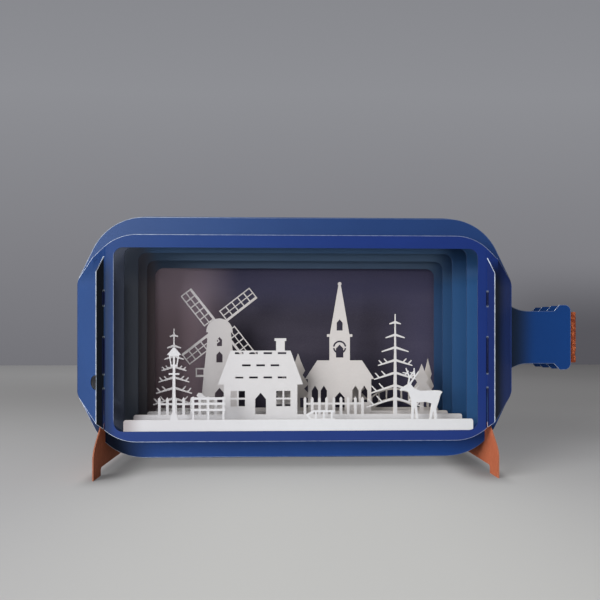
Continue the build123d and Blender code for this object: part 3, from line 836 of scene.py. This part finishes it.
# The floor's glow is the share of its light that is its own: painted light, which keeps shadows on it
# soft. The zones are in millimetres, as the prints' are: the floor's depth from dark to pale, its
# brightest patch, its far part, and where the stands' feet darken it; the wall's rise over its tones,
# and its dark lower right. All of these are painted light and shade: a pool of light in the bright
# patch, and painted shadow at the stands' feet, far to the right and low on the wall's right.
FLOOR_GLOW = 0.55
FLOOR_DEPTH = (330, -150)
FLOOR_BRIGHT_X = 14
FLOOR_BRIGHT = ((170, 20), (80, -60))
FLOOR_FAR = (360, 760)
FOOT_X = 97
FOOT_WIDTH = (20, 1)
FOOT_END = (107, 99)
FOOT_FRONT = (-24, 4)
FOOT_BACK = (110, 64)
WALL_RISE = 850
WALL_SHADOW = ((330, 660), (260, 70))
WALL_Y = 1.007
REACH = 5.0


def add_camera():
    """A level camera in front of the card, turned by a degree or two, as in the photograph."""
    data = bpy.data.cameras.new("camera")
    data.sensor_width = SENSOR_WIDTH
    data.lens = FOCAL_PIXELS / PICTURE * data.sensor_width
    data.shift_x = (PICTURE / 2 - CENTRE_PIXEL[0]) / PICTURE
    data.shift_y = (CENTRE_PIXEL[1] - PICTURE / 2) / PICTURE
    camera = bpy.data.objects.new("camera", data)
    bpy.context.scene.collection.objects.link(camera)
    back = CAMERA_DEPTH * MM
    camera.location = (
        MIDDLE_X - back * math.sin(CAMERA_TURN),
        FRONT_Y - back * math.cos(CAMERA_TURN),
        CAMERA_HEIGHT * MM,
    )
    camera.rotation_euler = (math.pi / 2, 0, -CAMERA_TURN)
    bpy.context.scene.camera = camera


def add_lamp(name, place, aim, power):
    """A square soft lamp that looks from its place at a point."""
    data = bpy.data.lights.new(name, "AREA")
    data.size = LAMP_SIZE
    data.energy = power
    lamp = bpy.data.objects.new(name, data)
    bpy.context.scene.collection.objects.link(lamp)
    lamp.location = place
    lamp.rotation_euler = (Vector(aim) - Vector(place)).to_track_quat("-Z", "Y").to_euler()
    lamp.visible_camera = False


def floor_finish():
    """Pale matt floor with painted light: brighter towards the viewer and in a pool, lighter far to the
    left, with painted shadow at the stands' feet and far to the right; part of its light is its own
    glow, so that shadows on it stay soft."""
    constants = {"Roughness": 0.9, "Specular_IOR_Level": 0.1, "Emission_Strength": FLOOR_GLOW}
    finish = Finish("pale_floor", **constants)
    x, y, _ = finish.place()
    cloud = finish.grain(260, 2.0)
    tone = finish.mix(y.between(*FLOOR_DEPTH), shade(98, 97, 98), shade(162, 162, 164))
    # Painted pool of light in front of the card.
    bright = zone(abs(x - FLOOR_BRIGHT_X), y, *FLOOR_BRIGHT)
    tone = finish.mix(bright * 0.85, tone, shade(204, 204, 200))
    base = finish.mix(cloud, shade(138, 138, 138), shade(144, 144, 144))
    far = y.between(*FLOOR_FAR)
    # Far part of the floor: painted light to the left and painted shadow to the right.
    tone = finish.mix(far * x.between(100, -300), tone, shade(130, 130, 131))
    tone = finish.mix(far * x.between(200, 500), tone, shade(80, 79, 80))
    # Painted shadow at the stands' feet.
    foot = abs(abs(x) - FOOT_X).between(*FOOT_WIDTH) * abs(x).between(*FOOT_END)
    foot = foot * y.between(*FOOT_FRONT) * y.between(*FOOT_BACK) * 0.6
    finish.feed("Base Color", finish.mix(foot, base, shade(52, 52, 54)))
    finish.feed("Emission Color", finish.mix(foot, tone, shade(60, 60, 62)))
    return finish.material


def wall_finish():
    """Grey wall whose light is painted as its own glow: darker towards the floor, and more so far to
    the right, where the darkening is painted shadow.
    """
    finish = Finish("grey_wall", Roughness=0.95, Specular_IOR_Level=0.1, Emission_Strength=1.0)
    x, _, z = finish.place()
    cloud = finish.grain(300, 2.0)
    stops = [
        (0.0, shade(112, 112, 117)),
        (0.3, shade(124, 124, 129)),
        (0.75, shade(139, 140, 145)),
        (1.0, shade(134, 135, 140)),
    ]
    tone = finish.ramp(z / WALL_RISE + (cloud - 0.5) * 0.03, stops)
    # Painted shadow low on the right.
    tone = finish.mix(zone(x, z, *WALL_SHADOW) * 0.75, tone, shade(70, 69, 75))
    finish.feed("Base Color", finish.mix(cloud, shade(24, 24, 25), shade(28, 28, 29)))
    finish.feed("Emission Color", tone)
    return finish.material


def add_plane(name, corners, material):
    """A flat four-cornered stage surface."""
    mesh = bpy.data.meshes.new(name)
    mesh.from_pydata(corners, [], [(0, 1, 2, 3)])
    plane = bpy.data.objects.new(name, mesh)
    mesh.materials.append(material)
    bpy.context.scene.collection.objects.link(plane)


add_camera()
add_lamp("key_lamp", KEY_PLACE, KEY_AIM, KEY_POWER)
add_lamp("fill_lamp", FILL_PLACE, FILL_AIM, FILL_POWER)
front = [(-REACH, -REACH, 0), (REACH, -REACH, 0)]
foot_of_wall = [(REACH, WALL_Y, 0), (-REACH, WALL_Y, 0)]
top_of_wall = [(REACH, WALL_Y, REACH), (-REACH, WALL_Y, REACH)]
add_plane("floor", front + foot_of_wall, floor_finish())
add_plane("wall", foot_of_wall[::-1] + top_of_wall, wall_finish())

world = bpy.data.worlds.new("studio")
world.use_nodes = True
background = world.node_tree.nodes["Background"]
background.inputs["Color"].default_value = shade(*WORLD_TONE)
background.inputs["Strength"].default_value = WORLD_STRENGTH
bpy.context.scene.world = world
bpy.context.scene.view_settings.view_transform = "Standard"
